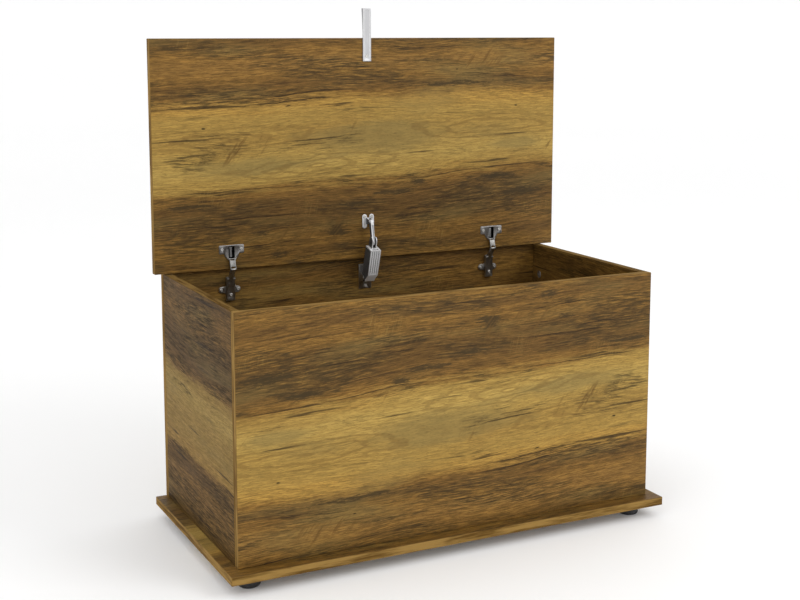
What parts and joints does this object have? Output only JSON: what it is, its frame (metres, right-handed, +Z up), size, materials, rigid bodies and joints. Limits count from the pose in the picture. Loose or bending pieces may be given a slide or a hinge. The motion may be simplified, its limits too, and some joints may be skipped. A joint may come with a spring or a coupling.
{
  "type": "storage chest",
  "caption": "Storage chest of oak-grain board with a flap lid on cup hinges, held open by a folding lid stay, with a metal pull strip and round feet.",
  "frame": {"origin": "on the floor, under the middle of the base board", "axes": "+X to the chest's right as seen from the front, +Y to the back, +Z up; the lid is open at rest"},
  "size_m": [0.84, 0.42, 0.9345],
  "materials": {
    "base_board": "oak-grain melamine on chipboard, satin",
    "foot_1": "moulded black",
    "foot_2": "moulded black",
    "foot_3": "moulded black",
    "foot_4": "moulded black",
    "front_board": "oak-grain melamine on chipboard, satin",
    "back_board": "oak-grain melamine on chipboard, satin",
    "end_board_left": "oak-grain melamine on chipboard, satin",
    "end_board_right": "oak-grain melamine on chipboard, satin",
    "cam_left_1": "zinc die casting",
    "cam_left_2": "zinc die casting",
    "cam_left_3": "zinc die casting",
    "cam_left_4": "zinc die casting",
    "cam_right_1": "zinc die casting",
    "cam_right_2": "zinc die casting",
    "cam_right_3": "zinc die casting",
    "cam_right_4": "zinc die casting",
    "hinge_plate_left": "nickel-plated",
    "hinge_arm_left": "nickel-plated",
    "hinge_arm_screw_left": "zinc-plated",
    "hinge_plate_screw_left_1": "zinc-plated",
    "hinge_plate_screw_left_2": "zinc-plated",
    "hinge_arm_pin_left": "ground steel",
    "hinge_link_left": "nickel-plated",
    "hinge_plate_right": "nickel-plated",
    "hinge_arm_right": "nickel-plated",
    "hinge_arm_screw_right": "zinc-plated",
    "hinge_plate_screw_right_1": "zinc-plated",
    "hinge_plate_screw_right_2": "zinc-plated",
    "hinge_arm_pin_right": "ground steel",
    "hinge_link_right": "nickel-plated",
    "lid_board": "oak-grain melamine on chipboard, satin",
    "hinge_cup_left": "nickel-plated",
    "hinge_leaf_left": "spring steel",
    "hinge_cup_screw_left_1": "zinc-plated",
    "hinge_cup_screw_left_2": "zinc-plated",
    "hinge_cup_pin_left": "ground steel",
    "hinge_cup_right": "nickel-plated",
    "hinge_leaf_right": "spring steel",
    "hinge_cup_screw_right_1": "zinc-plated",
    "hinge_cup_screw_right_2": "zinc-plated",
    "hinge_cup_pin_right": "ground steel",
    "stay_base": "nickel-plated",
    "stay_base_screw_1": "zinc-plated",
    "stay_base_screw_2": "zinc-plated",
    "stay_base_pin": "ground steel",
    "stay_housing": "extruded, satin",
    "stay_cap": "pressed, satin",
    "stay_plunger": "turned steel",
    "stay_spring": "spring steel",
    "stay_knee_pin": "ground steel",
    "stay_arm": "satin",
    "stay_lid_bracket": "nickel-plated",
    "stay_lid_screw_1": "zinc-plated",
    "stay_lid_screw_2": "zinc-plated",
    "stay_lid_pin": "ground steel",
    "pull_strip": "satin",
    "pull_screw": "zinc-plated"
  },
  "bodies": {
    "case": {"base_board": "base_board", "foot_1": "foot_1", "foot_2": "foot_2", "foot_3": "foot_3", "foot_4": "foot_4", "front_board": "front_board", "back_board": "back_board", "end_board_left": "end_board_left", "end_board_right": "end_board_right", "cam_left_1": "cam_left_1", "cam_left_2": "cam_left_2", "cam_left_3": "cam_left_3", "cam_left_4": "cam_left_4", "cam_right_1": "cam_right_1", "cam_right_2": "cam_right_2", "cam_right_3": "cam_right_3", "cam_right_4": "cam_right_4", "hinge_plate_left": "hinge_plate_left", "hinge_arm_left": "hinge_arm_left", "hinge_arm_screw_left": "hinge_arm_screw_left", "hinge_plate_screw_left_1": "hinge_plate_screw_left_1", "hinge_plate_screw_left_2": "hinge_plate_screw_left_2", "hinge_arm_pin_left": "hinge_arm_pin_left", "hinge_plate_right": "hinge_plate_right", "hinge_arm_right": "hinge_arm_right", "hinge_arm_screw_right": "hinge_arm_screw_right", "hinge_plate_screw_right_1": "hinge_plate_screw_right_1", "hinge_plate_screw_right_2": "hinge_plate_screw_right_2", "hinge_arm_pin_right": "hinge_arm_pin_right", "stay_base": "stay_base", "stay_base_screw_1": "stay_base_screw_1", "stay_base_screw_2": "stay_base_screw_2", "stay_base_pin": "stay_base_pin"},
    "hinge_links": {"hinge_link_left": "hinge_link_left", "hinge_link_right": "hinge_link_right"},
    "lid": {"lid_board": "lid_board", "hinge_cup_left": "hinge_cup_left", "hinge_leaf_left": "hinge_leaf_left", "hinge_cup_screw_left_1": "hinge_cup_screw_left_1", "hinge_cup_screw_left_2": "hinge_cup_screw_left_2", "hinge_cup_pin_left": "hinge_cup_pin_left", "hinge_cup_right": "hinge_cup_right", "hinge_leaf_right": "hinge_leaf_right", "hinge_cup_screw_right_1": "hinge_cup_screw_right_1", "hinge_cup_screw_right_2": "hinge_cup_screw_right_2", "hinge_cup_pin_right": "hinge_cup_pin_right", "stay_lid_bracket": "stay_lid_bracket", "stay_lid_screw_1": "stay_lid_screw_1", "stay_lid_screw_2": "stay_lid_screw_2", "stay_lid_pin": "stay_lid_pin", "pull_strip": "pull_strip", "pull_screw": "pull_screw"},
    "stay_lower": {"stay_housing": "stay_housing", "stay_cap": "stay_cap", "stay_plunger": "stay_plunger", "stay_spring": "stay_spring", "stay_knee_pin": "stay_knee_pin"},
    "stay_upper": {"stay_arm": "stay_arm"}
  },
  "joints": [
    {"name": "hinge_link_turn", "type": "hinge", "parent": "case", "child": "hinge_links", "pos_m": [0, 0.1714, 0.4591], "axis": [1, 0, 0], "range_deg": [-79.62, 0]},
    {"name": "lid_turn", "type": "hinge", "parent": "hinge_links", "child": "lid", "pos_m": [0, 0.177, 0.478], "axis": [1, 0, 0], "range_deg": [0, 169.61]},
    {"name": "stay_base_turn", "type": "hinge", "parent": "case", "child": "stay_lower", "pos_m": [0.0015, 0.178, 0.421], "axis": [1, 0, 0], "range_deg": [0, 72.86]},
    {"name": "stay_knee_turn", "type": "hinge", "parent": "stay_lower", "child": "stay_upper", "pos_m": [0.0015, 0.157, 0.491], "axis": [1, 0, 0], "range_deg": [-116.81, 0]}
  ],
  "couplings": [
    {"joint": "hinge_link_turn", "follows": "lid_turn", "ratio": -0.46937},
    {"joint": "stay_base_turn", "follows": "lid_turn", "ratio": 0.4295},
    {"joint": "stay_knee_turn", "follows": "lid_turn", "ratio": -0.68863}
  ]
}
